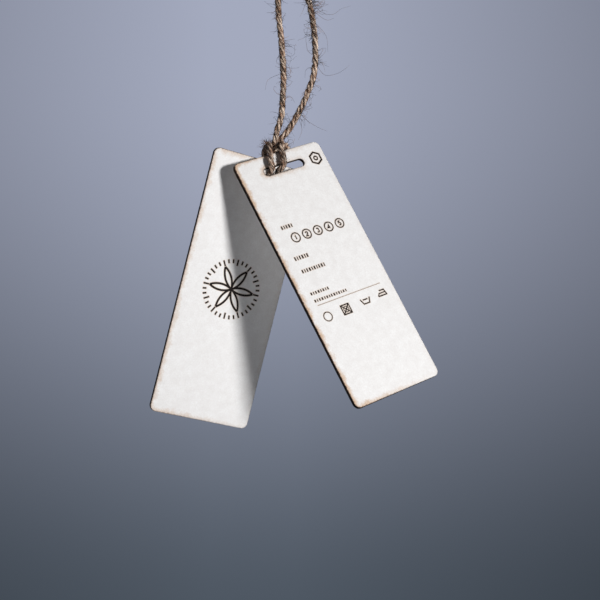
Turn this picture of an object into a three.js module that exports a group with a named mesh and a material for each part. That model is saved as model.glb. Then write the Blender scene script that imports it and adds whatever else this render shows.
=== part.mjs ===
// Two laser-cut board swing tags strung together on one jute twine.
// Millimetres, +Z up, the tags' printed faces towards -Y. The origin is the middle of the knot
// at the top of the twine, which the whole thing hangs from.
import * as THREE from 'three';

// Board tags, both cut from the same drawing
const tagWidth = 34;
const tagLength = 86.3;
const boardThickness = 1.2;
const cornerRadius = 2;
const cornerSteps = 8;

// Slot that the twine goes through, with round ends
const slotWidth = 16;
const slotHeight = 2.7;
const slotFromTop = 5.6;
const slotOffset = 0.35;

// Twine, and the clearance that separate strands and pieces keep
const twineDiameter = 1.9;
const touchGap = 0.3;
const twineSides = 8;
const legSteps = 24;
const hitchSteps = 84;

// Knot at the top: turns of the twine wound round both legs
const knotTurns = 2.5;
const knotSides = 6;
const knotStepsPerTurn = 24;
const knotGap = 0.6;
const knotSideGap = 0.45;

// How each tag hangs, in degrees: turn is about the vertical, lean about its width and fan in its
// own plane. Its grip is the point in its slot that the twine's two strands pass on either side of,
// and gripAlongSlot is how far that lies to the right of the tag's centre line.
const frontHang = {
	turn: 25.59,
	lean: - 12.23,
	fan: - 23.69,
	gripAlongSlot: - 3,
	grip: [ - 4.21, - 1.04, - 71.38 ],
};
const rearHang = {
	turn: 24.47,
	lean: 17.4,
	fan: 7.72,
	gripAlongSlot: 5.2,
	grip: [ - 4.94, 5.43, - 72.88 ],
};

// The twine's route, as points chosen by hand. The hitch is a lark's head: each side of the bight
// comes through both slots, goes up the front of the tags and over their top edges, and the bight
// closes behind the legs.
const hitchRoute = [
	[ - 4.08, 1.5, - 59.41 ],
	[ - 4.4, 2.2, - 60.4 ],
	[ - 4.75, 3.2, - 62 ],
	[ - 5, 4.5, - 64.2 ],
	[ - 5.69, 5.54, - 66 ],
	[ - 6.16, 6.03, - 67.88 ],
	[ - 6.66, 6.51, - 69.76 ],
	[ - 6.84, 6.61, - 70.96 ],
	[ - 6.66, 6.18, - 72 ],
	[ - 6.32, 5.59, - 72.49 ],
	[ - 5.7, 4.21, - 73.01 ],
	[ - 5.76, 1.7, - 72.91 ],
	[ - 5.9, - 1.09, - 72 ],
	[ - 5.26, - 2.52, - 71.68 ],
	[ - 5.09, - 3.46, - 71.42 ],
	[ - 5.27, - 4.1, - 70.67 ],
	[ - 5.57, - 4.04, - 69.37 ],
	[ - 5.72, - 3.58, - 67.83 ],
	[ - 5.92, - 3.03, - 66.31 ],
	[ - 6.09, - 2.47, - 64.61 ],
	[ - 6.15, - 1, - 63 ],
	[ - 6.5, 0.8, - 62.2 ],
	[ - 7.2, 2.8, - 62.6 ],
	[ - 7.8, 4.8, - 63.6 ],
	[ - 7.5, 6.6, - 64.8 ],
	[ - 6.2, 7.9, - 65.5 ],
	[ - 4.2, 8.65, - 65.6 ],
	[ - 2.3, 8.45, - 65.2 ],
	[ - 0.9, 7.2, - 64.2 ],
	[ - 0.45, 5.4, - 62.6 ],
	[ - 0.75, 3.6, - 61.7 ],
	[ - 1.5, 1.9, - 61.6 ],
	[ - 2.1, 0.55, - 62.3 ],
	[ - 2.3, - 0.4, - 63.3 ],
	[ - 2.21, - 0.72, - 64.57 ],
	[ - 1.85, - 1.27, - 66.18 ],
	[ - 1.58, - 1.78, - 67.89 ],
	[ - 1.51, - 1.97, - 69.31 ],
	[ - 1.87, - 1.64, - 70.27 ],
	[ - 2.48, - 0.97, - 70.74 ],
	[ - 3.2, 0.42, - 71.1 ],
	[ - 3.32, 2.89, - 72.41 ],
	[ - 3.57, 5.22, - 73.12 ],
	[ - 4.2, 6.61, - 72.65 ],
	[ - 4.5, 7.54, - 71.56 ],
	[ - 4.43, 7.51, - 69.9 ],
	[ - 4.05, 7, - 67.89 ],
	[ - 3.63, 6.48, - 66 ],
	[ - 3.3, 6.1, - 64.6 ],
	[ - 3, 5.3, - 62.9 ],
	[ - 3.05, 4.3, - 61.4 ],
	[ - 2.55, 3.4, - 60 ],
	[ - 2, 2.6, - 58.9 ],
];
const leftLegRoute = [
	[ - 3.97, 1.33, - 58.59 ],
	[ - 3.8, 1.1, - 57.43 ],
	[ - 3.08, 0.75, - 55.47 ],
	[ - 2.27, 0.4, - 52.32 ],
	[ - 1.9, 0.15, - 46.52 ],
	[ - 1.69, 0, - 39.38 ],
	[ - 2, 0, - 32.44 ],
	[ - 2.58, 0, - 25.13 ],
	[ - 3.42, 0, - 15.88 ],
	[ - 3.31, 0, - 9.99 ],
	[ - 1.9, 0, - 6.8 ],
	[ - 1.15, 0, - 3.6 ],
	[ - 1.1, 0, 0 ],
	[ - 1.15, 0, 4.2 ],
	[ - 2, 0.2, 7.2 ],
	[ - 3.8, 0.6, 11.2 ],
];
const rightLegRoute = [
	[ - 1.41, 2.38, - 58.33 ],
	[ - 0.63, 2.09, - 57.57 ],
	[ 1.18, 1.58, - 54.87 ],
	[ 2.99, 1.08, - 51.57 ],
	[ 4.77, 0.72, - 48 ],
	[ 6.62, 0.36, - 43.34 ],
	[ 8.15, 0.14, - 38.62 ],
	[ 8.68, 0, - 32.05 ],
	[ 8.47, 0, - 25.13 ],
	[ 7.37, 0, - 16.76 ],
	[ 5.6, 0, - 10.57 ],
	[ 2.6, 0, - 7.2 ],
	[ 1.2, 0, - 3.9 ],
	[ 1.1, 0, 0 ],
	[ 1.15, 0, 4.2 ],
	[ 1.9, - 0.2, 6.8 ],
	[ 3.4, - 0.7, 10.4 ],
];

const board = new THREE.MeshStandardMaterial( { color: 0xf3f0ee, roughness: 0.75, metalness: 0 } );
const jute = new THREE.MeshStandardMaterial( { color: 0xb9977a, roughness: 0.95, metalness: 0 } );

const part = new THREE.Group();

// A rounded outline about a centre, drawn anticlockwise with arcs at the corners
function roundedRect( path, width, height, radius, x = 0, y = 0 ) {

	const right = x + width / 2 - radius;
	const left = x - width / 2 + radius;
	const top = y + height / 2 - radius;
	const bottom = y - height / 2 + radius;
	path.absarc( right, bottom, radius, - Math.PI / 2, 0 );
	path.absarc( right, top, radius, 0, Math.PI / 2 );
	path.absarc( left, top, radius, Math.PI / 2, Math.PI );
	path.absarc( left, bottom, radius, Math.PI, Math.PI * 3 / 2 );
	path.closePath();
	return path;

}

// A tag stands in XZ with its middle plane at Y = 0 and its grip at the origin
function tagGeometry( gripAlongSlot ) {

	const centreX = - gripAlongSlot;
	const centreZ = slotFromTop - tagLength / 2;
	const outline = roundedRect( new THREE.Shape(), tagWidth, tagLength, cornerRadius, centreX, centreZ );
	const slotX = centreX + slotOffset;
	outline.holes.push( roundedRect( new THREE.Path(), slotWidth, slotHeight, slotHeight / 2, slotX, 0 ) );
	const geometry = new THREE.ExtrudeGeometry( outline, {
		depth: boardThickness,
		bevelEnabled: false,
		curveSegments: cornerSteps,
	} );
	geometry.translate( 0, 0, - boardThickness / 2 );
	geometry.rotateX( Math.PI / 2 );
	return geometry;

}

function addTag( name, { turn, lean, fan, gripAlongSlot, grip } ) {

	const aim = new THREE.Group();
	aim.position.set( ...grip );
	aim.rotation.set( THREE.MathUtils.degToRad( lean ), 0, THREE.MathUtils.degToRad( turn ), 'ZXY' );
	const tag = new THREE.Mesh( tagGeometry( gripAlongSlot ), board );
	tag.name = name;
	tag.rotation.y = THREE.MathUtils.degToRad( fan );
	aim.add( tag );
	part.add( aim );

}

function routeCurve( route ) {

	return new THREE.CatmullRomCurve3( route.map( ( point ) => new THREE.Vector3( ...point ) ) );

}

// A round strand of twine along a curve
function strandGeometry( curve, steps, sides ) {

	const round = new THREE.EllipseCurve( 0, 0, twineDiameter / 2, twineDiameter / 2 );
	const section = new THREE.Shape( round.getPoints( sides ).slice( 0, sides ) );
	return new THREE.ExtrudeGeometry( section, { steps, extrudePath: curve, bevelEnabled: false } );

}

function addStrand( name, curve, steps, sides = twineSides ) {

	const strand = new THREE.Mesh( strandGeometry( curve, steps, sides ), jute );
	strand.name = name;
	part.add( strand );

}

// The knot's turns wind round the two legs where they lie side by side
class KnotWinding extends THREE.Curve {

	getPoint( t, target = new THREE.Vector3() ) {

		const legSpacing = twineDiameter + touchGap;
		const pitch = twineDiameter + knotGap;
		const angle = 2 * Math.PI * knotTurns * t;
		const radiusX = legSpacing / 2 + twineDiameter + knotSideGap;
		const radiusY = twineDiameter + knotGap;
		const rise = pitch * knotTurns * ( t - 0.5 );
		return target.set( radiusX * Math.cos( angle ), radiusY * Math.sin( angle ), rise );

	}

}

addTag( 'front_tag', frontHang );
addTag( 'rear_tag', rearHang );
addStrand( 'twine_hitch', routeCurve( hitchRoute ), hitchSteps );
addStrand( 'twine_left_leg', routeCurve( leftLegRoute ), legSteps );
addStrand( 'twine_right_leg', routeCurve( rightLegRoute ), legSteps );
addStrand( 'twine_top_knot', new KnotWinding(), knotTurns * knotStepsPerTurn, knotSides );

export default part;
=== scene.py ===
"""Two laser-cut swing tags strung on one jute twine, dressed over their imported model.

Everything stands in metres in the model's frame: +Z up, the engraved faces towards -Y, and the origin in
the middle of the knot at the top. Lists of points are in millimetres. A tag is drawn flat, also in
millimetres, x to its right and z up from its grip, which is the point in its slot that the twine's two
strands pass on either side of.
"""
import math
import random
from itertools import cycle

import bmesh
import bpy
import numpy as np
from bpy.props import FloatProperty, FloatVectorProperty, IntProperty, PointerProperty
from mathutils import Matrix, Vector, noise
from mathutils.geometry import delaunay_2d_cdt
from mathutils.kdtree import KDTree


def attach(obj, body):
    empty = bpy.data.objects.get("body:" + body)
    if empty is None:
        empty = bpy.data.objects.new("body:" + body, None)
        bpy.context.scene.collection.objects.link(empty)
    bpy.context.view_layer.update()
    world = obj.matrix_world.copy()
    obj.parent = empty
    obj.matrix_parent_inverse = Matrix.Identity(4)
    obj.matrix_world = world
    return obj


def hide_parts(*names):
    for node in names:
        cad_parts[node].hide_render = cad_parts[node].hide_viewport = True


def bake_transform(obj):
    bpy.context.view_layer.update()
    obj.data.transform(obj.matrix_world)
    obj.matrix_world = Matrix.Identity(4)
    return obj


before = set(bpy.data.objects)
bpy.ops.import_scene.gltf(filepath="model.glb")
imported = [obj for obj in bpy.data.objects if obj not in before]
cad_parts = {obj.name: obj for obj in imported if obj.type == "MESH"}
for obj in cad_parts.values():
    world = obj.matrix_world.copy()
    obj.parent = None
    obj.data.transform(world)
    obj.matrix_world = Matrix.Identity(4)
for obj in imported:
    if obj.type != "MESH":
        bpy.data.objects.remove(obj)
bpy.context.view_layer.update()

bl_info = {
    "name": "Swing Tags on Jute Twine",
    "version": (1, 0, 0),
    "blender": (4, 5, 0),
    "location": "View3D > Sidebar > Swing Tags",
    "description": "Builds two laser-cut board tags, the twine that they hang on and a plain studio",
    "category": "Object",
}

MM = 0.001
TURN = 2 * math.pi

# How each tag hangs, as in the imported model: turn about the vertical, lean about its width and fan in
# its own plane, in degrees. The grip is in metres, and grip_along_slot is how far it lies right of the
# tag's centre line. The fan's range is how far the tag can turn from there.
HANGS = {
    "front_tag": {
        "turn": 25.59,
        "lean": -12.23,
        "fan": -23.69,
        "grip_along_slot": -0.003,
        "grip": (-0.00421, -0.00104, -0.07138),
        "fan_range": (-2, 16),
    },
    "rear_tag": {
        "turn": 24.47,
        "lean": 17.4,
        "fan": 7.72,
        "grip_along_slot": 0.0052,
        "grip": (-0.00494, 0.00543, -0.07288),
        "fan_range": (-14, 10),
    },
}

# The twine's route in millimetres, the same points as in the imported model
HITCH_ROUTE = [
    (-4.08, 1.5, -59.41),
    (-4.4, 2.2, -60.4),
    (-4.75, 3.2, -62),
    (-5, 4.5, -64.2),
    (-5.69, 5.54, -66),
    (-6.16, 6.03, -67.88),
    (-6.66, 6.51, -69.76),
    (-6.84, 6.61, -70.96),
    (-6.66, 6.18, -72),
    (-6.32, 5.59, -72.49),
    (-5.7, 4.21, -73.01),
    (-5.76, 1.7, -72.91),
    (-5.9, -1.09, -72),
    (-5.26, -2.52, -71.68),
    (-5.09, -3.46, -71.42),
    (-5.27, -4.1, -70.67),
    (-5.57, -4.04, -69.37),
    (-5.72, -3.58, -67.83),
    (-5.92, -3.03, -66.31),
    (-6.09, -2.47, -64.61),
    (-6.15, -1, -63),
    (-6.5, 0.8, -62.2),
    (-7.2, 2.8, -62.6),
    (-7.8, 4.8, -63.6),
    (-7.5, 6.6, -64.8),
    (-6.2, 7.9, -65.5),
    (-4.2, 8.65, -65.6),
    (-2.3, 8.45, -65.2),
    (-0.9, 7.2, -64.2),
    (-0.45, 5.4, -62.6),
    (-0.75, 3.6, -61.7),
    (-1.5, 1.9, -61.6),
    (-2.1, 0.55, -62.3),
    (-2.3, -0.4, -63.3),
    (-2.21, -0.72, -64.57),
    (-1.85, -1.27, -66.18),
    (-1.58, -1.78, -67.89),
    (-1.51, -1.97, -69.31),
    (-1.87, -1.64, -70.27),
    (-2.48, -0.97, -70.74),
    (-3.2, 0.42, -71.1),
    (-3.32, 2.89, -72.41),
    (-3.57, 5.22, -73.12),
    (-4.2, 6.61, -72.65),
    (-4.5, 7.54, -71.56),
    (-4.43, 7.51, -69.9),
    (-4.05, 7, -67.89),
    (-3.63, 6.48, -66),
    (-3.3, 6.1, -64.6),
    (-3, 5.3, -62.9),
    (-3.05, 4.3, -61.4),
    (-2.55, 3.4, -60),
    (-2, 2.6, -58.9),
]
LEFT_LEG_ROUTE = [
    (-3.97, 1.33, -58.59),
    (-3.8, 1.1, -57.43),
    (-3.08, 0.75, -55.47),
    (-2.27, 0.4, -52.32),
    (-1.9, 0.15, -46.52),
    (-1.69, 0, -39.38),
    (-2, 0, -32.44),
    (-2.58, 0, -25.13),
    (-3.42, 0, -15.88),
    (-3.31, 0, -9.99),
    (-1.9, 0, -6.8),
    (-1.15, 0, -3.6),
    (-1.1, 0, 0),
    (-1.15, 0, 4.2),
    (-2, 0.2, 7.2),
    (-3.8, 0.6, 11.2),
]
RIGHT_LEG_ROUTE = [
    (-1.41, 2.38, -58.33),
    (-0.63, 2.09, -57.57),
    (1.18, 1.58, -54.87),
    (2.99, 1.08, -51.57),
    (4.77, 0.72, -48),
    (6.62, 0.36, -43.34),
    (8.15, 0.14, -38.62),
    (8.68, 0, -32.05),
    (8.47, 0, -25.13),
    (7.37, 0, -16.76),
    (5.6, 0, -10.57),
    (2.6, 0, -7.2),
    (1.2, 0, -3.9),
    (1.1, 0, 0),
    (1.15, 0, 4.2),
    (1.9, -0.2, 6.8),
    (3.4, -0.7, 10.4),
]

# Turns of twine wound round both legs at the top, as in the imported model
KNOT_TURNS = 2.5
KNOT_TWINE = 1.9 * MM
LEG_GAP = 0.3 * MM
KNOT_GAP = 0.6 * MM
KNOT_SIDE_GAP = 0.45 * MM

# Where the twine is roughed up and more of its fibres stand out: a point on it, how far that reaches
# along the twine, how many fibres, their longest length and the way that they mostly point; the point and
# the lengths are in millimetres
TUFTS = [
    ((7.4, 0, -14.9), 3, 60, 9, (1.0, -0.2, 0.35)),
    ((8.6, 0, -33.8), 1.2, 20, 5.5, (1.0, 0.1, 0.05)),
    ((8.4, 0, -22.8), 3, 26, 5, (-0.6, -0.3, -0.6)),
    ((-2.5, 0, -27.7), 1.6, 20, 5, (1.0, -0.3, -0.2)),
    ((-1.7, 0, -37.6), 3, 22, 4.5, (0.8, 0.3, -0.5)),
    ((3.1, 1.1, -51.3), 2, 20, 6, (1.0, 0.0, -0.6)),
    ((-6.2, -2.1, -64), 2.2, 110, 3.6, (-0.9, -0.2, 0.35)),
    ((-6.1, -0.5, -62.5), 1.2, 50, 3, (-0.4, -0.3, 0.9)),
]

# Single long fibres that stand out of each leg: x and z of points along them, in millimetres
LONG_FIBRES = {
    "left": [
        [(-3.5, -15.7), (-5.5, -15.0), (-8.1, -12.9)],
        [(-2.5, -29.3), (0.4, -28.6), (2.4, -30.0)],
        [(-2.2, -30.7), (0.8, -32.8), (0.1, -35.2)],
        [(-2.8, -38.3), (-6.7, -40.4), (-7.6, -43.8)],
        [(-2.1, -47.2), (0.8, -46.2), (2.1, -48.3)],
    ],
    "right": [
        [(8.2, -14.3), (11.2, -17.1), (14.5, -17.6), (17.2, -15.7), (20.5, -14.6)],
        [(8.4, -16.7), (12.6, -19.6), (14.8, -18.9)],
        [(8.5, -20.3), (12.2, -25.1), (12.8, -30.7)],
        [(8.9, -34.9), (11.8, -38.7), (15.7, -38.2), (18.3, -36.6), (20.0, -35.0)],
        [(8.3, -35.6), (5.7, -36.9), (5.3, -39.7)],
        [(3.4, -51.6), (6.6, -54.7), (9.8, -56.7), (12.4, -57.8)],
        [(2.9, -52.4), (4.3, -57.4), (3.2, -60.8)],
        [(6.6, -43.1), (7.9, -45.9), (6.6, -47.6)],
    ],
}


def linear(hex_code):
    """The linear colour, with full alpha, of an sRGB hex code."""
    shares = [int(hex_code[i:i + 2], 16) / 255 for i in (1, 3, 5)]
    return (*[s / 12.92 if s <= 0.04045 else ((s + 0.055) / 1.055) ** 2.4 for s in shares], 1.0)


def length(name, description, millimetres):
    """A setting that is a length, given in millimetres and held in metres."""
    return FloatProperty(
        name=name, description=description, default=millimetres * MM, min=0.0, precision=5, unit="LENGTH"
    )


def colour(name, description, hex_code):
    """A setting that is a colour, given as its sRGB hex code and held linear."""
    return FloatVectorProperty(
        name=name,
        description=description,
        default=linear(hex_code),
        size=4,
        min=0.0,
        max=1.0,
        subtype="COLOR",
    )


class BoardSettings(bpy.types.PropertyGroup):
    """Sizes and colours of the two board tags, which are cut from one drawing"""

    width: length("Width", "Width of a tag", 34)
    height: length("Height", "Height of a tag", 86.3)
    thickness: length("Thickness", "Thickness of the board", 1.2)
    corner_radius: length("Corner radius", "Radius of a tag's four corners", 2.0)
    slot_width: length("Slot width", "Length of the slot with its round ends", 16)
    slot_height: length("Slot height", "Height of the slot", 2.7)
    slot_from_top: length("Slot from top", "From a tag's top edge to the middle of the slot", 5.6)
    slot_offset: length("Slot offset", "From the centre line to the middle of the slot", 0.35)
    edge_round: length("Edge round", "How far the beam has rounded the edge of the face", 0.06)
    kerf_ripple: length("Kerf ripple", "How far the cut edge wanders", 0.05)
    engraving_depth: length("Engraving depth", "How deep the marks are burnt in", 0.13)
    halo_width: length("Halo width", "How far smoke has tanned the face beside a cut", 2.0)
    face: colour("Face", "White coated face", "#f4f3f2")
    face_shade: colour("Face shade", "Darker patches of the white face", "#e6e3e1")
    halo: colour("Halo", "Face tanned by smoke", "#c9a888")
    scorch: colour("Scorch", "Face burnt brown right beside a cut", "#4a2e1c")
    char: colour("Char", "Charred core of the cut edge", "#150d09")
    char_brown: colour("Char, brown", "Less burnt streaks of the cut edge", "#3c281a")
    engraving: colour("Engraving", "Floor of the engraved marks", "#160d08")


class TwineSettings(bpy.types.PropertyGroup):
    """Sizes and colours of the jute twine and of the fibres that stand out of it"""

    diameter: length("Diameter", "Diameter of the laid twine", 1.96)
    plies: IntProperty(name="Plies", description="Yarns that are laid together", default=3, min=2, max=4)
    lay_length: length("Lay length", "Length of twine in which a ply goes once round", 8.7)
    ring_spacing: length("Ring spacing", "Spacing of the rings that draw a ply", 0.28)
    fibre_bundle: length("Fibre bundle", "Width of the fibre bundles that show in a ply", 0.16)
    hair: length("Hair diameter", "Diameter of a loose fibre at its root", 0.13)
    flyaways_per_mm: FloatProperty(
        name="Flyaways", description="Loose fibres per millimetre", default=3.6, min=0.0
    )
    surface_per_mm: FloatProperty(
        name="Surface fibres", description="Lying fibres per millimetre", default=4.5, min=0.0
    )
    seed: IntProperty(name="Seed", description="Start of the random draws for the fibres", default=11)
    light: colour("Light fibre", "Palest fibres", "#f5ddc8")
    body: colour("Fibre", "Most of the fibres", "#ab8369")
    # The dark fibre is also the colour of the painted shade in the grooves between the plies
    dark: colour("Dark fibre", "Retted, darker fibres", "#25160e")
    hair_colour: colour("Loose fibre", "Loose fibres, which look darker as they are so thin", "#2f241c")


class StageSettings(bpy.types.PropertyGroup):
    """Sizes and colours of the plain studio"""

    floor_drop: length("Floor drop", "From the knot down to the floor", 700)
    floor_radius: length("Floor radius", "Radius at which the floor has faded into the backdrop", 2000)
    lamp_distance: length("Lamp distance", "From the tags to each soft lamp", 700)
    lens: length("Lens", "Focal length on the 36 mm sensor", 82.1)
    floor: colour("Floor", "Pale floor", "#d9dee6")
    floor_seen: colour("Floor, lit", "Pale floor as it looks under the lamps", "#8f959f")
    backdrop_high: colour("Backdrop, high", "Backdrop above the tags, where its light pools", "#a4aabe")
    backdrop_low: colour("Backdrop, low", "Backdrop at the height of the floor", "#4d5661")
    lamp: colour("Lamp", "Light of the soft lamps", "#ffffff")
    sky: colour("Fill", "Even light from all round", "#f8faff")


# Materials

def feed(node, inputs):
    """Gives a node's inputs their values, or links them to a socket or a node's first output in use."""
    for key, value in inputs.items():
        if isinstance(key, str):
            socket = next(s for s in node.inputs if s.enabled and s.name == key)
        else:
            socket = node.inputs[key]
        if isinstance(value, bpy.types.Node):
            value = next(s for s in value.outputs if s.enabled)
        if isinstance(value, bpy.types.NodeSocket):
            node.id_data.links.new(value, socket)
        else:
            socket.default_value = value


def add_node(material, kind, inputs=None, **settings):
    """Adds one shader node with its settings, the values of its inputs and the links into it."""
    node = material.node_tree.nodes.new("ShaderNode" + kind)
    for name, value in settings.items():
        setattr(node, name, value)
    feed(node, inputs or {})
    return node


def new_material(name):
    """An empty node material, with the shader and output that it ends in."""
    material = bpy.data.materials.new(name)
    material.use_nodes = True
    material.node_tree.nodes.clear()
    shader = add_node(material, "BsdfPrincipled")
    output = add_node(material, "OutputMaterial", {"Surface": shader})
    return material, shader, output


def white_lined_board(board):
    """White-lined greyboard, laser cut: a matt paper face, tanned and burnt beside every cut and mark.

    The eye gets a soft white with a faint paper mottle, a smoky halo of uneven width and a thin brown rim,
    both darkened towards the left with painted shade.
    """
    material, shader, _ = new_material("white_lined_board_laser_cut")
    place = add_node(material, "TexCoord").outputs["Object"]
    edge = add_node(material, "Attribute", attribute_name="edge_distance").outputs["Fac"]
    mark = add_node(material, "Attribute", attribute_name="mark_distance").outputs["Fac"]
    smoke = add_node(material, "Attribute", attribute_name="smoke").outputs["Fac"]

    # Paper: clouds about 2.5 mm across, and fibres about 0.5 mm, drawn coarser than real ones to show
    clouds = add_node(
        material, "TexNoise", {"Vector": place, "Scale": 1 / (2.5 * MM), "Detail": 5.0, "Roughness": 0.7}
    )
    paper = add_node(
        material, "TexNoise", {"Vector": place, "Scale": 1 / (0.5 * MM), "Detail": 4.0, "Roughness": 0.65}
    )
    mottle = add_node(material, "Math", {0: clouds, 1: paper}, operation="MULTIPLY")
    shade = add_node(material, "MapRange", {"Value": mottle, "From Min": 0.14, "From Max": 0.42})
    face = add_node(
        material, "Mix", {"Factor": shade, "A": board.face_shade, "B": board.face}, data_type="RGBA"
    )

    # Smoke: its reach wanders every 4 mm. The halo and the burnt rim fade towards the right and are
    # strongest on the left. That bias is painted shade, as the left cut sides face away from the light; the
    # tan and the burn themselves are real.
    drift = add_node(
        material, "TexNoise", {"Vector": place, "Scale": 1 / (4 * MM), "Detail": 4.0, "Roughness": 0.7}
    )
    wander = add_node(
        material,
        "MapRange",
        {"Value": drift, "From Min": 0.3, "From Max": 0.7, "To Min": -0.8 * MM, "To Max": 1.0 * MM},
        clamp=False,
    )
    smoke_edge = add_node(material, "Math", {0: edge, 1: wander}, operation="ADD")
    halo = add_node(
        material,
        "MapRange",
        {"Value": smoke_edge, "From Min": board.halo_width, "From Max": 0.1 * MM},
        interpolation_type="SMOOTHSTEP",
    )
    across = add_node(material, "SeparateXYZ", {"Vector": place}).outputs["X"]
    right = board.width / 2
    # Painted shade: 1 at the tag's left side, falling to 0.08 at its right
    left_side_shade = add_node(
        material, "MapRange", {"Value": across, "From Min": right, "From Max": -right, "To Min": 0.08}
    )
    smoke_with_left_shade = add_node(material, "Math", {0: smoke, 1: left_side_shade}, operation="MULTIPLY")
    halo_strength = add_node(material, "Math", {0: halo, 1: smoke_with_left_shade}, operation="MULTIPLY")
    tanned = add_node(
        material, "Mix", {"Factor": halo_strength, "A": face, "B": board.halo}, data_type="RGBA"
    )
    mark_halo = add_node(
        material,
        "MapRange",
        {"Value": mark, "From Min": 0.32 * MM, "From Max": 0.0, "To Max": 0.5},
        interpolation_type="SMOOTHSTEP",
    )
    stained = add_node(
        material, "Mix", {"Factor": mark_halo, "A": tanned, "B": board.halo}, data_type="RGBA"
    )

    # Burnt rim: from 0.1 to 0.4 mm wide, breaking up every 0.7 mm
    breaks = add_node(
        material, "TexNoise", {"Vector": place, "Scale": 1 / (0.7 * MM), "Detail": 3.0, "Roughness": 0.6}
    )
    rim_reach = add_node(
        material,
        "MapRange",
        {"Value": breaks, "From Min": 0.3, "From Max": 0.7, "To Min": -0.16 * MM, "To Max": 0.2 * MM},
        clamp=False,
    )
    rim_edge = add_node(material, "Math", {0: edge, 1: rim_reach}, operation="ADD")
    rim = add_node(
        material,
        "MapRange",
        {"Value": rim_edge, "From Min": 0.42 * MM, "From Max": 0.1 * MM},
        interpolation_type="SMOOTHSTEP",
    )
    # Painted shade: the burnt rim is darkest on the left, where the cut sides face away from the light; the
    # char itself is real
    rim_strength = add_node(material, "MapRange", {"Value": smoke_with_left_shade, "To Min": 0.12})
    rim_here = add_node(material, "Math", {0: rim, 1: rim_strength}, operation="MULTIPLY")
    burnt = add_node(
        material, "Mix", {"Factor": rim_here, "A": stained, "B": board.scorch}, data_type="RGBA"
    )

    relief = add_node(material, "Bump", {"Height": paper, "Strength": 0.35, "Distance": 0.02 * MM})
    roughness = add_node(
        material,
        "MapRange",
        {"Value": clouds, "From Min": 0.3, "From Max": 0.7, "To Min": 0.6, "To Max": 0.74},
    )
    feed(shader, {"Base Color": burnt, "Normal": relief, "Roughness": roughness, "IOR": 1.45})
    return material


def charred_edge(board):
    """Greyboard cut by a laser: the pulp of the edge is charcoal, combed by the pulses of the beam.

    The eye gets a dead matt black-brown line with streaks across the board's thickness.
    """
    material, shader, _ = new_material("greyboard_edge_laser_charred")
    place = add_node(material, "TexCoord").outputs["Object"]
    # Streaks 0.25 mm apart round the edge, ten times as long across the thickness
    fine = 1 / (0.25 * MM)
    comb = add_node(material, "Mapping", {"Vector": place, "Scale": (fine, fine / 10, fine)})
    streaks = add_node(material, "TexNoise", {"Vector": comb, "Scale": 1.0, "Detail": 3.0})
    patches = add_node(material, "TexNoise", {"Vector": place, "Scale": 1 / (5 * MM), "Detail": 2.0})
    both = add_node(material, "Math", {0: streaks, 1: patches}, operation="MULTIPLY")
    share = add_node(material, "MapRange", {"Value": both, "From Min": 0.2, "From Max": 0.42})
    burnt = add_node(
        material, "Mix", {"Factor": share, "A": board.char, "B": board.char_brown}, data_type="RGBA"
    )
    relief = add_node(material, "Bump", {"Height": streaks, "Strength": 0.6, "Distance": 0.05 * MM})
    feed(shader, {"Base Color": burnt, "Normal": relief, "Roughness": 0.88, "Specular IOR Level": 0.3})
    return material


def engraved_board(board):
    """White-lined board burnt away by a laser engraver, line by line.

    The eye gets matt dark brown strokes with a fine grain of lighter ash.
    """
    material, shader, _ = new_material("white_lined_board_laser_engraved")
    place = add_node(material, "TexCoord").outputs["Object"]
    # The engraver's lines are 0.1 mm apart, and the ash gathers in grains of the same size
    grain = add_node(material, "TexNoise", {"Vector": place, "Scale": 1 / (0.1 * MM), "Detail": 2.0})
    ash = add_node(material, "MapRange", {"Value": grain, "From Min": 0.6, "From Max": 0.85})
    burnt = add_node(
        material, "Mix", {"Factor": ash, "A": board.engraving, "B": board.char_brown}, data_type="RGBA"
    )
    relief = add_node(material, "Bump", {"Height": grain, "Strength": 0.5, "Distance": 0.03 * MM})
    feed(shader, {"Base Color": burnt, "Normal": relief, "Roughness": 0.85, "Specular IOR Level": 0.3})
    return material


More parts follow.
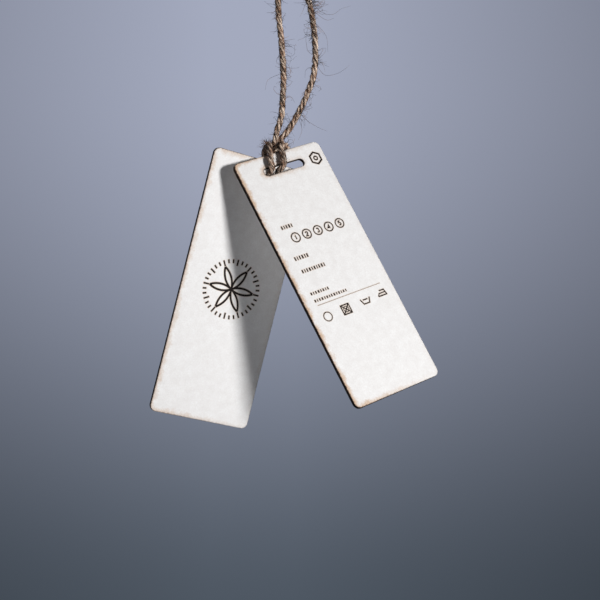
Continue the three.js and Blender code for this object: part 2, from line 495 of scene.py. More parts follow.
def laid_jute(twine):
    """Natural jute, spun into yarns and laid up into twine without polish.

    The eye gets dry golden-brown plies streaked along their fibres, pale and dark bundles side by side,
    with painted shade in the grooves between the plies.
    """
    material, shader, _ = new_material("natural_jute_laid_twine")
    # The attribute is the place in the ply as if it were pulled out straight, x and y across it
    straight = add_node(material, "Attribute", attribute_name="straight_ply").outputs["Vector"]
    from_core = add_node(material, "Attribute", attribute_name="from_core").outputs["Fac"]
    across = 1 / twine.fibre_bundle
    drawn_out = add_node(material, "Mapping", {"Vector": straight, "Scale": (across, across, across / 14)})
    bundles = add_node(
        material, "TexNoise", {"Vector": drawn_out, "Scale": 1.0, "Detail": 4.0, "Roughness": 0.6}
    )
    # Patches of paler and darker fibre, about 5 mm long
    patches = add_node(material, "TexNoise", {"Vector": straight, "Scale": 1 / (2.5 * MM), "Detail": 2.0})
    body_share = add_node(material, "MapRange", {"Value": bundles, "From Min": 0.42, "From Max": 0.5})
    brown = add_node(
        material, "Mix", {"Factor": body_share, "A": twine.dark, "B": twine.body}, data_type="RGBA"
    )
    both = add_node(material, "Math", {0: bundles, 1: patches}, operation="MULTIPLY")
    pale = add_node(material, "MapRange", {"Value": both, "From Min": 0.215, "From Max": 0.315})
    fibre = add_node(material, "Mix", {"Factor": pale, "A": brown, "B": twine.light}, data_type="RGBA")
    # Painted shade: the fibre darkens towards the twine's core, in the grooves between the plies
    painted_groove_shade = add_node(
        material, "MapRange", {"Value": from_core, "From Min": 0.82, "From Max": 0.52, "To Max": 0.95}
    )
    shaded = add_node(material, "Mix", {"Factor": painted_groove_shade, "A": fibre, "B": twine.dark}, data_type="RGBA")
    relief = add_node(material, "Bump", {"Height": bundles, "Strength": 1.0, "Distance": 0.16 * MM})
    feed(shader, {"Base Color": shaded, "Normal": relief, "Roughness": 0.8, "Specular IOR Level": 0.35})
    feed(shader, {"Sheen Weight": 0.15, "Sheen Roughness": 0.5})
    return material


def loose_jute(twine):
    """Single jute fibres that have worked loose: thin, stiff and a little shiny.

    The eye gets dark hairlines against the light, paler where they catch it.
    """
    material, shader, _ = new_material("natural_jute_loose_fibre")
    place = add_node(material, "TexCoord").outputs["Object"]
    # One fibre's tone changes about every 3 mm
    tone = add_node(material, "TexNoise", {"Vector": place, "Scale": 1 / (3 * MM), "Detail": 1.0})
    share = add_node(material, "MapRange", {"Value": tone, "From Min": 0.45, "From Max": 0.75})
    fibre = add_node(
        material, "Mix", {"Factor": share, "A": twine.hair_colour, "B": twine.body}, data_type="RGBA"
    )
    feed(shader, {"Base Color": fibre, "Roughness": 0.6, "Specular IOR Level": 0.4})
    return material


def matt_floor(stage):
    """Matt painted studio floor, rolled on: pale and even, and fading into the backdrop far out."""
    material, shader, output = new_material("matt_studio_floor_rolled")
    feed(shader, {"Base Color": stage.floor, "Roughness": 0.9})
    place = add_node(material, "TexCoord").outputs["Object"]
    far = add_node(material, "VectorMath", {0: place}, operation="LENGTH")
    fade = add_node(
        material,
        "MapRange",
        {"Value": far, "From Min": stage.floor_radius * 0.3, "From Max": stage.floor_radius},
        interpolation_type="SMOOTHSTEP",
    )
    clear = add_node(material, "BsdfTransparent")
    feed(output, {"Surface": add_node(material, "MixShader", {0: fade, 1: shader, 2: clear})})
    return material


# Twine

def smooth_line(route, steps=16):
    """Points along the centripetal Catmull-Rom curve through a route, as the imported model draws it."""
    points = np.array(route) * MM
    points = np.vstack([2 * points[0] - points[1], points, 2 * points[-1] - points[-2]])
    gap = np.sqrt(np.linalg.norm(np.diff(points, axis=0), axis=1))
    t = np.linspace(0, 1, steps, endpoint=False)[:, None]
    line = []
    for i in range(1, len(points) - 2):
        before, here, after = gap[i - 1:i + 2]
        a, b, c, d = points[i - 1:i + 3]
        leave = ((b - a) / before - (c - a) / (before + here) + (c - b) / here) * here
        arrive = ((c - b) / here - (d - b) / (here + after) + (d - c) / after) * here
        line.append(
            b * (2 * t**3 - 3 * t**2 + 1)
            + leave * (t**3 - 2 * t**2 + t)
            + c * (3 * t**2 - 2 * t**3)
            + arrive * (t**3 - t**2)
        )
    return np.vstack([*line, points[-2:-1]])


def unit(vectors):
    """The same directions, one unit long."""
    return vectors / np.linalg.norm(vectors, axis=-1, keepdims=True)


def wave(*place):
    """Smooth noise from about -1 to 1, the same on each run."""
    return noise.noise(Vector(place))


class Strand:
    """A stretch of twine: its centreline at even spacing, with a frame that doesn't spin along it."""

    def __init__(self, line, spacing):
        run = np.concatenate([[0.0], np.cumsum(np.linalg.norm(np.diff(line, axis=0), axis=1))])
        self.last = max(2, round(run[-1] / spacing))
        self.run = np.linspace(0, run[-1], self.last + 1)
        self.centre = np.stack([np.interp(self.run, run, line[:, k]) for k in range(3)], axis=1)
        self.along = unit(np.gradient(self.centre, axis=0))
        # Any direction that the twine doesn't start in gives the first side
        side = unit(np.cross(self.along[0], (0.3, 0.9, 0.1)))
        sides = []
        for along in self.along:
            side = unit(side - along * (side @ along))
            sides.append(side)
        self.side = np.array(sides)
        self.up = np.cross(self.along, self.side)

    def nearest(self, point):
        """The index of the ring nearest to a point in millimetres, and how far off that is in metres."""
        off = np.linalg.norm(self.centre - np.array(point) * MM, axis=1)
        return int(np.argmin(off)), off.min()

    def out(self, index, angle):
        """The direction that leaves the centreline at an angle round it."""
        return math.cos(angle) * self.side[index] + math.sin(angle) * self.up[index]


# How a ply is drawn: the points round it, its yarn's lobes, how far the plies press into each other,
# which way they are laid, and the lay length of the yarn as a share of the twine's
PLY_SIDES = 14
YARN_LOBES = 5
PLY_SQUEEZE = 0.93
LAY_WAY = -1
YARN_LAY = 0.8


def ply_rings(strand, twine, ply):
    """One ply's rings of points along a strand, and where each point lies in the ply pulled straight."""
    spread = PLY_SQUEEZE / math.sin(math.pi / twine.plies)
    radius = twine.diameter / 2 / (1 + spread)
    angle = LAY_WAY * TURN * strand.run / twine.lay_length + TURN * ply / twine.plies
    out = np.cos(angle)[:, None] * strand.side + np.sin(angle)[:, None] * strand.up
    core = strand.centre + out * radius * spread
    beside = np.cross(unit(np.gradient(core, axis=0)), out)
    # The ply swells every 4 mm or so, and its yarn is lumpy every millimetre
    swell = 1 + 0.1 * np.array([wave(run / (4 * MM), 7.3 * ply, 0.5) for run in strand.run])
    rings, straight = [], []
    for k in range(PLY_SIDES):
        turn = TURN * k / PLY_SIDES
        # The yarn's own twist runs against the lay, so its fibres lie nearly along the twine
        yarn = turn + strand.run * TURN / (twine.lay_length * YARN_LAY)
        lobes = 0.06 * np.cos(YARN_LOBES * yarn)
        lumps = [wave(run / (1.1 * MM), ply + math.cos(turn), math.sin(turn)) for run in strand.run]
        reach = (radius * (swell + lobes + 0.09 * np.array(lumps)))[:, None]
        rings.append(core + reach * (math.cos(turn) * out + math.sin(turn) * beside))
        across = radius * np.cos(yarn) + ply * 10 * MM, radius * np.sin(yarn)
        straight.append(np.stack([*across, strand.run], axis=1))
    return np.stack(rings, axis=1), np.stack(straight, axis=1)


def mesh_object(name, vertices, faces, material):
    """An object with that mesh, shaded smooth."""
    mesh = bpy.data.meshes.new(name)
    mesh.from_pydata([tuple(v) for v in vertices], [], faces)
    mesh.materials.append(material)
    mesh.shade_smooth()
    piece = bpy.data.objects.new(name, mesh)
    bpy.context.scene.collection.objects.link(piece)
    return piece


def tube_faces(base, rings, sides):
    """The faces of a closed tube, whose rings of points follow each other from the base on."""
    faces = []
    for here in range(base, base + (rings - 1) * sides, sides):
        for k in range(sides):
            beside = (k + 1) % sides
            faces.append((here + k, here + beside, here + sides + beside, here + sides + k))
    end = base + (rings - 1) * sides
    faces.append(tuple(reversed(range(base, base + sides))))
    faces.append(tuple(range(end, end + sides)))
    return faces


def add_attribute(mesh, name, values):
    """Gives each point of a mesh its value, which is a number or a vector."""
    values = np.array(values, np.float32)
    kind, field = ("FLOAT", "value") if values.ndim == 1 else ("FLOAT_VECTOR", "vector")
    mesh.attributes.new(name, kind, "POINT").data.foreach_set(field, values.ravel())


def twine_piece(name, strand, twine, first, last, material):
    """The plies of one stretch of a strand, from one ring to another, as one mesh."""
    vertices, straights, depths, faces = [], [], [], []
    for ply in range(twine.plies):
        rings, straight = ply_rings(strand, twine, ply)
        rings = rings[first:last + 1]
        # How far each point lies from the twine's core, which sets the painted shade in the grooves
        from_core = np.linalg.norm(rings - strand.centre[first:last + 1, None], axis=2)
        depths.extend(from_core.ravel() / (twine.diameter / 2))
        faces.extend(tube_faces(len(vertices), len(rings), PLY_SIDES))
        vertices.extend(rings.reshape(-1, 3))
        straights.extend(straight[first:last + 1].reshape(-1, 3))
    piece = mesh_object(name, vertices, faces, material)
    add_attribute(piece.data, "straight_ply", straights)
    add_attribute(piece.data, "from_core", depths)
    return piece


# Loose fibres

# The sides of a loose fibre, the length of its shortest steps, how far it keeps from a board and how
# many splay out of a cut end of the twine
HAIR_SIDES = 3
FIBRE_STEP = 0.5 * MM
BOARD_CLEARANCE = 0.15 * MM
FRAYED_FIBRES = 90


def any_way(draw):
    """A random direction, of random length."""
    return Vector(draw.gauss(0, 1) for _ in range(3))


def curling_fibre(draw, start, heading, reach, curl):
    """Points of one fibre that leaves start that way and bends as it goes; curl is in turns a metre."""
    steps = max(4, min(12, round(reach / FIBRE_STEP)))
    step = reach / steps
    axis = any_way(draw).normalized()
    point = Vector(start)
    heading = Vector(heading).normalized()
    points = [point.copy()]
    for _ in range(steps):
        axis = (axis + 0.5 * any_way(draw)).normalized()
        heading = Matrix.Rotation(curl * step * TURN, 3, axis) @ heading
        point = point + heading * step
        points.append(point.copy())
    return points


def lying_fibre(draw, strand, twine, index):
    """Points of one fibre that lies along the outside of the twine, a little off the lay."""
    steps = draw.randint(6, 16)
    angle = draw.uniform(0, TURN)
    lay = LAY_WAY * TURN / twine.lay_length * draw.uniform(0.2, 1.1)
    way = draw.choice((-1, 1))
    lift = draw.uniform(0.95, 1.04)
    points = []
    for k in range(steps):
        i = index + way * k
        if not 0 <= i <= strand.last:
            break
        height = twine.diameter / 2 * (lift + 0.1 * (k / steps) ** 3)
        turned = angle + lay * (strand.run[i] - strand.run[index])
        points.append(Vector(strand.centre[i] + strand.out(i, turned) * height))
    return points


def touches_board(points, board):
    """Whether any of the points lies in a tag's board, outside its slot, wherever the tag fans to."""
    for name, hang in HANGS.items():
        into = hang_matrix(name).inverted()
        local = np.array([into @ Vector(point) for point in points])
        flat = local[np.abs(local[:, 1]) < board.thickness / 2 + BOARD_CLEARANCE][:, [0, 2]]
        if len(flat) == 0:
            continue
        for fan in np.radians(np.linspace(*hang["fan_range"], 7)):
            turned = flat @ np.array([[math.cos(fan), math.sin(fan)], [-math.sin(fan), math.cos(fan)]])
            if edge_distance(board, name, turned).max() > -BOARD_CLEARANCE:
                return True
    return False


def stray_fibres(draw, strand, twine, board, first, last):
    """The loose fibres of one stretch of twine: fibres lying on it, strays all along and the tufts."""
    stretch = (strand.run[last] - strand.run[first]) / MM
    fibres = []
    for _ in range(round(stretch * twine.surface_per_mm)):
        fibres.append(lying_fibre(draw, strand, twine, draw.randint(first, last)))
    for _ in range(round(stretch * twine.flyaways_per_mm)):
        i = draw.randint(first, last)
        out = strand.out(i, draw.uniform(0, TURN))
        along = strand.along[i] * draw.choice((-1, 1))
        heading = out * draw.uniform(0.3, 1.0) + along * draw.uniform(0.2, 1.0)
        reach = MM * min(10.0, 0.6 + draw.expovariate(1 / 1.7))
        root = strand.centre[i] + out * twine.diameter * 0.4
        fibres.append(curling_fibre(draw, root, heading, reach, draw.uniform(30, 140)))
    for place, spread, count, longest, way in TUFTS:
        middle, off = strand.nearest(place)
        if not first <= middle <= last or off > 3 * MM:
            continue
        rings = spread * MM / (strand.run[1] - strand.run[0])
        for _ in range(count):
            i = min(last, max(first, middle + round(draw.uniform(-rings, rings))))
            heading = Vector(way) + 0.65 * any_way(draw)
            root = Vector(strand.centre[i]) + heading.normalized() * twine.diameter * 0.35
            reach = MM * longest * draw.uniform(0.2, 1.0) ** 1.5
            fibres.append(curling_fibre(draw, root, heading, reach, draw.uniform(30, 130)))
    return [f for f in fibres if len(f) > 3 and not touches_board(f, board)]


def frayed_end(draw, strand, twine, at_start):
    """Fibres that splay out of a cut end of the twine."""
    index, sign = (0, -1) if at_start else (strand.last, 1)
    way = strand.along[index] * sign
    fibres = []
    for _ in range(FRAYED_FIBRES):
        out = strand.out(index, draw.uniform(0, TURN))
        root = strand.centre[index] + out * twine.diameter / 2 * math.sqrt(draw.random()) - way * 0.4 * MM
        heading = way + out * draw.uniform(0.0, 0.6)
        reach = MM * draw.uniform(0.9, 2.6)
        fibres.append(curling_fibre(draw, root, heading, reach, draw.uniform(10, 70)))
    return fibres


def fibre_piece(name, fibres, twine, material):
    """The fibres as thin tapered tubes in one mesh."""
    vertices, faces = [], []
    for points in fibres:
        last = len(points) - 1
        faces.extend(tube_faces(len(vertices), len(points), HAIR_SIDES))
        side = (points[1] - points[0]).orthogonal().normalized()
        for i, point in enumerate(points):
            along = (points[min(i + 1, last)] - points[max(i - 1, 0)]).normalized()
            side = (side - along * side.dot(along)).normalized()
            up = along.cross(side)
            radius = twine.hair / 2 * (1 - 0.65 * i / last)
            for k in range(HAIR_SIDES):
                turn = TURN * k / HAIR_SIDES
                vertices.append(point + radius * (math.cos(turn) * side + math.sin(turn) * up))
    return mesh_object(name, vertices, faces, material)


# Board tags

def hang_matrix(name):
    """The place of a tag's grip and the way that the tag hangs from it."""
    hang = HANGS[name]
    turn, lean, fan = (math.radians(hang[way]) for way in ("turn", "lean", "fan"))
    turned = Matrix.Rotation(turn, 4, "Z") @ Matrix.Rotation(lean, 4, "X") @ Matrix.Rotation(fan, 4, "Y")
    return Matrix.Translation(hang["grip"]) @ turned


def tag_centre(board, name):
    """The middle of a tag's outline in its own plane, from its grip."""
    return np.array([-HANGS[name]["grip_along_slot"], board.slot_from_top - board.height / 2])


def from_rounded_box(points, centre, width, height, radius):
    """How far points lie outside a box with round corners, negative inside it."""
    over = np.abs(points - centre) - np.array([width / 2 - radius, height / 2 - radius])
    return np.linalg.norm(np.maximum(over, 0), axis=1) + np.minimum(over.max(axis=1), 0) - radius


def edge_distance(board, name, points):
    """How far points in a tag's plane lie from its nearest cut edge, positive on the board."""
    centre = tag_centre(board, name)
    slot = np.array([centre[0] + board.slot_offset, 0.0])
    outside = from_rounded_box(points, centre, board.width, board.height, board.corner_radius)
    from_slot = from_rounded_box(points, slot, board.slot_width, board.slot_height, board.slot_height / 2)
    return np.minimum(-outside, from_slot)


def rounded_loop(centre, width, height, radius, side_steps, end_steps, corner_steps=10):
    """Points round a box with round corners, anticlockwise; steps divide its sides, ends and corners."""
    x, z = width / 2 - radius, height / 2 - radius
    corners = [(x, -z), (x, z), (-x, z), (-x, -z)]
    loop = []
    for k, corner in enumerate(corners):
        for i in range(corner_steps + 1):
            turn = math.radians(90 * (k - 1 + i / corner_steps))
            loop.append((corner[0] + radius * math.cos(turn), corner[1] + radius * math.sin(turn)))
        turn = math.radians(90 * k)
        start = np.array(loop[-1])
        end = np.array(corners[(k + 1) % 4]) + radius * np.array([math.cos(turn), math.sin(turn)])
        steps = end_steps if k % 2 else side_steps
        for i in range(1, steps):
            loop.append(tuple(start + (end - start) * i / steps))
    return np.array(loop) + centre


def stroke(points, width, closed=False):
    """Quads that draw a line of that width through the points, mitred where it bends."""
    line = [Vector(p) for p in points]
    count = len(line)
    sides = []
    for i, point in enumerate(line):
        arrive = point - line[i - 1] if closed or i else line[1] - point
        leave = line[(i + 1) % count] - point if closed or i < count - 1 else arrive
        along = (arrive.normalized() + leave.normalized()).normalized()
        across = Vector((-along.y, along.x)) * (width / 2 / max(0.5, along.dot(leave.normalized())))
        sides.append((point + across, point - across))
    pairs = zip(sides, sides[1:] + sides[:1] if closed else sides[1:])
    return [(a[0], a[1], b[1], b[0]) for a, b in pairs]


def arc(centre, radius, start, end, steps):
    """Points of an arc from one angle to another, in degrees."""
    turns = [math.radians(start + (end - start) * i / steps) for i in range(steps + 1)]
    return [(centre[0] + radius * math.cos(t), centre[1] + radius * math.sin(t)) for t in turns]


def ring(centre, radius, width, steps=36):
    """Quads that draw a circle."""
    return stroke(arc(centre, radius, 0, 360, steps)[:-1], width, closed=True)


# The marks' places and sizes are in millimetres from the middle of their tag
HEXAGON_MIDDLE = (13.15, 37.59)
# Rows of bars in place of words: left end, right end, middle line and height
WORD_ROWS = [
    (-11.53, -7.15, 18.45, 1.2),
    (-12.35, -6.93, 7.59, 1.25),
    (-12.03, -2.74, 3.0, 1.15),
    (-12.96, -5.23, -4.65, 0.9),
    (-12.86, -0.22, -7.2, 0.85),
]
BAR_WIDTHS = (0.52, 0.32, 0.46, 0.58, 0.36)
BAR_GAP = 0.5
NARROWEST_BAR = 0.2
RULE = [(-12.52, -8.8), (12.64, -8.8)]
NUMBERS_X = (-8.17, -3.74, 0.68, 5.11, 9.54)
NUMBERS_Z = 14.21
NUMBER_LINE = 0.41
# Laundry signs: a circle, a crossed square round a circle, a tub of water and an iron
SIGN_LINE = 0.4
SIGN_CIRCLE_MIDDLE = (-10.99, -13.14)
SIGN_SQUARE_MIDDLE = (-3.56, -12.97)
SIGN_SQUARE_HALF = 1.55
SIGN_TUB = [(2.76, -11.76), (3.45, -13.51), (5.74, -13.52), (6.42, -11.78)]
SIGN_WATER = [(3.65, -12.15), (5.55, -12.15)]
SIGN_IRON = [(9.8, -12.9), (13.2, -12.9), (12.75, -11.1), (10.9, -11.1)]
SIGN_IRON_TOP = [(9.8, -12.9), (10.5, -12.0), (12.95, -12.0)]
# Rosette of the rear tag: its middle and the length of a petal; a dial's ticks stand round it
ROSETTE_MIDDLE = (-0.01, 0.28)
PETALS = 6
PETAL = 7.6
TICKS = 36
TICK_ENDS = 9.75
LONG_TICK_START = 7.8
SHORT_TICK_START = 8.5


def word_blocks(left, right, middle, height):
    """Plain bars of uneven width in a row, in place of a word."""
    quads = []
    widths = cycle(BAR_WIDTHS)
    while left < right - NARROWEST_BAR:
        end = min(right, left + next(widths))
        quads += stroke([(left, middle), (end, middle)], height)
        left = end + BAR_GAP
    return quads


def digit(number, centre, height):
    """Quads that draw a digit from 1 to 5 in lines of even width."""
    shapes = {
        1: [(-0.16, 0.28), (0.06, 0.5), (0.06, -0.5)],
        2: [*arc((0, 0.22), 0.28, 165, -35, 10), (-0.3, -0.5), (0.32, -0.5)],
        3: [*arc((0, 0.25), 0.25, 150, -70, 9), *arc((0, -0.23), 0.27, 70, -150, 9)],
        4: [(0.34, -0.2), (-0.34, -0.2), (0.14, 0.5), (0.14, -0.5)],
        5: [(0.26, 0.5), (-0.2, 0.5), (-0.24, 0.06), *arc((0, -0.2), 0.3, 110, -140, 10)],
    }
    line = [(centre[0] + x * height, centre[1] + z * height) for x, z in shapes[number]]
    return stroke(line, NUMBER_LINE)


def front_marks():
    """The front tag's marks: a hexagon, bars for words, circled numbers, a rule and laundry signs."""
    hexagon = arc(HEXAGON_MIDDLE, radius=2.15, start=90, end=450, steps=6)[:-1]
    quads = stroke(hexagon, width=0.58, closed=True)
    quads += ring(HEXAGON_MIDDLE, radius=0.66, width=0.46, steps=16)
    for row in WORD_ROWS:
        quads += word_blocks(*row)
    quads += stroke(RULE, width=0.1)
    for number, x in enumerate(NUMBERS_X, start=1):
        quads += ring((x, NUMBERS_Z), radius=1.55, width=0.38)
        quads += digit(number, (x, NUMBERS_Z), height=1.35)
    quads += ring(SIGN_CIRCLE_MIDDLE, radius=1.49, width=0.3)
    middle = Vector(SIGN_SQUARE_MIDDLE)
    corners = [middle + SIGN_SQUARE_HALF * Vector(way) for way in ((-1, -1), (1, -1), (1, 1), (-1, 1))]
    quads += stroke(corners, SIGN_LINE, closed=True)
    quads += ring(middle, radius=0.95, width=0.26, steps=20)
    for line in (corners[::2], corners[1::2], SIGN_TUB, SIGN_WATER, SIGN_IRON):
        quads += stroke(line, SIGN_LINE)
    return quads + stroke(SIGN_IRON_TOP, width=0.36)


def rear_marks():
    """The rear tag's rosette of petals in a dial of ticks."""
    middle = Vector(ROSETTE_MIDDLE)
    quads = []
    for k in range(PETALS):
        turn = 360 / PETALS * k
        centre = middle + PETAL * Vector((math.cos(math.radians(turn)), math.sin(math.radians(turn))))
        quads += stroke(arc(centre, PETAL, turn + 120, turn + 240, steps=28), width=0.66)
    for k in range(TICKS):
        way = Vector((math.cos(TURN * k / TICKS), math.sin(TURN * k / TICKS)))
        start = LONG_TICK_START if k % 3 == 0 else SHORT_TICK_START
        quads += stroke([middle + way * start, middle + way * TICK_ENDS], width=0.52)
    return quads


def samples_of(quads, spacing=0.1):
    """A search tree of points along the sides of the quads."""
    points = []
    for quad in quads:
        for a, b in zip(quad, quad[1:] + quad[:1]):
            steps = max(1, math.ceil((b - a).length / spacing))
            points.extend(a + (b - a) * i / steps for i in range(steps))
    tree = KDTree(len(points))
    for i, point in enumerate(points):
        tree.insert((point.x, 0.0, point.y), i)
    tree.balance()
    return tree


# Points that divide a face, in millimetres: rows at these distances from the cuts, then a grid of fine
# spacing near the marks and of wide spacing elsewhere
ROWS_BESIDE_CUTS = (0.22, 0.45, 0.8, 1.3, 1.9)
GRID_FROM_CUTS = 2.2
FINE_SPACING = 0.3
WIDE_SPACING = 2.2
NEAR_MARKS = 0.75
# Points of a tag that lie closer than this are one point, in millimetres
WELD = 0.002


def tag_loops(board, name, inset):
    """A tag's outline and slot, drawn that far in from the cut edges, in millimetres."""
    centre = tag_centre(board, name) / MM
    size = board.width / MM - 2 * inset, board.height / MM - 2 * inset
    radius = board.corner_radius / MM - inset
    outline = rounded_loop(centre, *size, radius, side_steps=160, end_steps=50)
    slot_centre = np.array([centre[0] + board.slot_offset / MM, 0.0])
    size = board.slot_width / MM + 2 * inset, board.slot_height / MM + 2 * inset
    return outline, rounded_loop(slot_centre, *size, size[1] / 2, side_steps=1, end_steps=22)


def face_points(board, name, marked):
    """Points that divide a face: rows beside the cut edges, and a grid that is fine beside marks."""
    rows = [loop for inset in ROWS_BESIDE_CUTS for loop in tag_loops(board, name, inset)]
    points = [point for row in rows for point in row[::2]]
    low = tag_centre(board, name) - np.array([board.width, board.height]) / 2
    for spacing, near in ((FINE_SPACING, True), (WIDE_SPACING, False)):
        columns = np.arange(low[0] / MM, (low[0] + board.width) / MM, spacing)
        rows = np.arange(low[1] / MM, (low[1] + board.height) / MM, spacing)
        grid = np.stack(np.meshgrid(columns, rows), axis=-1).reshape(-1, 2)
        for x, z in grid[edge_distance(board, name, grid * MM) > GRID_FROM_CUTS * MM]:
            close = marked is not None and marked.find((x, 0.0, z))[2] < NEAR_MARKS
            if close == near:
                points.append((x, z))
    return points


def inside_quads(quads, points):
    """Which of the points lie inside any of the quads, which are wound either way."""
    inside = np.zeros(len(points), bool)
    for quad in quads:
        corners = np.array(quad)
        sides = np.roll(corners, -1, axis=0) - corners
        off = points[:, None] - corners
        turns = sides[:, 0] * off[:, :, 1] - sides[:, 1] * off[:, :, 0]
        inside |= (turns.max(axis=1) < 0) | (turns.min(axis=1) > 0)
    return inside


def face_mesh(outline, slot, quads, points):
    """The flat face between an outline and its slot, in triangles: points, faces and which are marks."""
    vertices, edges = [], []
    for loop in (outline, slot, *quads):
        base = len(vertices)
        vertices.extend(Vector(p) for p in loop)
        edges.extend((base + k, base + (k + 1) % len(loop)) for k in range(len(loop)))
    vertices.extend(Vector(p) for p in points)
    cut_vertices, _, triangles, _, _, _ = delaunay_2d_cdt(vertices, edges, [], 0, 1e-5)
    middles = np.array(cut_vertices)[np.array(triangles)].mean(axis=1)
    size = np.ptp(slot, axis=0)
    in_slot = from_rounded_box(middles, slot.mean(axis=0), *size, size[1] / 2) < -WELD
    kept = [triangle for triangle, hole in zip(triangles, in_slot) if not hole]
    return cut_vertices, kept, inside_quads(quads, middles[~in_slot])


# The material of each kind of face of a tag
BOARD_FACE, CUT_EDGE, MARK = range(3)


class TagMesh:
    """One board tag while it is drawn, in millimetres, with its grip at the origin and its face at -Y."""

    def __init__(self, board, name):
        self.board = board
        self.name = name
        self.half = board.thickness / 2 / MM
        self.step_in = board.edge_round / MM
        self.vertices, self.faces, self.kinds = [], [], []

    def add_face(self, y, quads, marked, flip):
        """Adds a flat face at that depth, with its marks sunk into the board and walled round."""
        loops = tag_loops(self.board, self.name, self.step_in)
        inside = face_points(self.board, self.name, marked)
        points, triangles, is_mark = face_mesh(*loops, quads, inside)
        base = len(self.vertices)
        self.vertices.extend((p.x, y, p.y) for p in points)
        floor, walls = {}, {}
        for triangle, mark in zip(triangles, is_mark):
            if flip:
                triangle = triangle[::-1]
            if not mark:
                self.faces.append([base + k for k in triangle])
                self.kinds.append(BOARD_FACE)
                continue
            for k in triangle:
                if k not in floor:
                    floor[k] = len(self.vertices)
                    depth = self.board.engraving_depth / MM
                    self.vertices.append((points[k].x, y + depth, points[k].y))
            self.faces.append([floor[k] for k in triangle])
            self.kinds.append(MARK)
            # A side that two triangles of a mark share gets no wall
            for a, b in zip(triangle, triangle[1:] + triangle[:1]):
                if walls.pop((b, a), None) is None:
                    walls[(a, b)] = True
        for a, b in walls:
            self.faces.append([base + a, base + b, floor[b], floor[a]])
            self.kinds.append(MARK)

    def add_cut_edges(self):
        """Adds the walls of the outline and the slot, with their rims rounded and their faces rippled."""
        half, step_in = self.half, self.step_in
        heights = [-half, -half + step_in, -half / 3, half / 3, half - step_in, half]
        cuts = tag_loops(self.board, self.name, 0), tag_loops(self.board, self.name, step_in)
        for cut, rim in zip(*cuts):
            start, count = len(self.vertices), len(cut)
            for y in heights:
                for (x, z), (rim_x, rim_z) in zip(cut, rim):
                    if abs(y) == half:
                        self.vertices.append((rim_x, y, rim_z))
                        continue
                    away = Vector((x - rim_x, z - rim_z)).normalized()
                    push = wave(x / 1.3, z / 1.3, 3.1) + 0.5 * wave(x / 0.4, z / 0.4, y * 0.8)
                    push *= self.board.kerf_ripple / MM
                    self.vertices.append((x + away.x * push, y, z + away.y * push))
            for here in range(start, start + (len(heights) - 1) * count, count):
                for k in range(count):
                    beside = (k + 1) % count
                    self.faces.append([here + k, here + k + count, here + beside + count, here + beside])
                    self.kinds.append(CUT_EDGE)

    def welded(self, materials):
        """The finished mesh in metres, with its parts joined and its faces turned outwards."""
        mesh = bpy.data.meshes.new(self.name + "_board")
        mesh.from_pydata([Vector(v) * MM for v in self.vertices], [], self.faces)
        for material in materials:
            mesh.materials.append(material)
        mesh.polygons.foreach_set("material_index", self.kinds)
        work = bmesh.new()
        work.from_mesh(mesh)
        bmesh.ops.remove_doubles(work, verts=work.verts, dist=WELD * MM)
        bmesh.ops.recalc_face_normals(work, faces=work.faces)
        work.to_mesh(mesh)
        work.free()
        mesh.shade_smooth()
        mesh.set_sharp_from_angle(angle=math.radians(50))
        return mesh


def tag_piece(name, marks, smoke, materials):
    """One board tag with its charred edges and engraved marks; smoke is how strongly its face is tanned."""
    board = bpy.context.scene.board_tags
    middle = Vector(tag_centre(board, name) / MM)
    quads = [tuple(middle + corner for corner in quad) for quad in marks]
    marked = samples_of(quads)
    tag = TagMesh(board, name)
    tag.add_face(-tag.half, quads, marked, False)
    tag.add_face(tag.half, [], None, True)
    tag.add_cut_edges()
    mesh = tag.welded(materials)

    # The materials tan and burn each point by how far it lies from a cut edge and from a mark
    places = np.array([v.co for v in mesh.vertices])
    no_mark = 10 * MM
    to_mark = [marked.find((x / MM, 0.0, z / MM))[2] * MM if y < 0 else no_mark for x, y, z in places]
    add_attribute(mesh, "edge_distance", edge_distance(board, name, places[:, [0, 2]]))
    add_attribute(mesh, "mark_distance", to_mark)
    add_attribute(mesh, "smoke", [smoke] * len(places))

    piece = bpy.data.objects.new(name + "_board", mesh)
    bpy.context.scene.collection.objects.link(piece)
    piece.matrix_world = hang_matrix(name)
    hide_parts(name)
    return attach(piece, name)


# Stage

# The camera's place in metres and how far it looks up, in degrees
CAMERA_PLACE = (0.0037, -0.41967, -0.2026)
CAMERA_TILT = 12
TAGS_MIDDLE = (0.0, 0.0, -0.11)
# Square soft boxes that shine on the tags: the way each stands from them, its side in metres and its watts
LAMPS = {
    "key_softbox": ((0.68, -0.69, -0.06), 0.1, 5.0),
    "fill_softbox": ((-0.55, -0.75, 0.35), 0.6, 0.08),
    "back_softbox": ((0.35, 0.85, 0.3), 0.5, 2.4),
}
FLOOR_RINGS = 24
FLOOR_SIDES = 64


def add_camera(stage):
    """The camera, in the photo's viewpoint."""
    lens = bpy.data.cameras.new("photo_view")
    lens.lens = stage.lens / MM
    lens.sensor_width = 36.0
    lens.clip_start = 0.01
    camera = bpy.data.objects.new("photo_view", lens)
    bpy.context.scene.collection.objects.link(camera)
    camera.location = CAMERA_PLACE
    camera.rotation_euler = (math.radians(90 + CAMERA_TILT), 0.0, 0.0)
    bpy.context.scene.camera = camera


